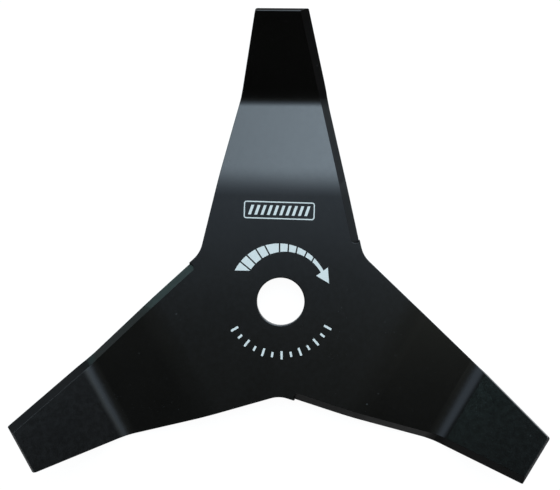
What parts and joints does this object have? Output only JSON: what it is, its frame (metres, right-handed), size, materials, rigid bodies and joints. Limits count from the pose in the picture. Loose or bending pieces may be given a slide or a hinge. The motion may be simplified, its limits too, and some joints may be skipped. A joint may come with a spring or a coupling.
{
  "type": "brush cutter blade",
  "caption": "Steel blade for a brush cutter: a flat hub with a round arbor bore and tapered arms, each bent down near the hub and up towards its tip, with a cutting bevel along its leading edge.",
  "frame": {"origin": "centre of mass, on the spindle axis through the middle of the bore", "axes": "+Z along the spindle axis on the printed side, +Y along one arm, +X to that arm's leading side"},
  "size_m": [0.2759, 0.2393, 0.035],
  "materials": {
    "black_enamel": "black satin enamel over the whole blade, cutting bevels included, with white print on the hub"
  },
  "bodies": {
    "root": {"blade": "black_enamel"}
  },
  "joints": []
}
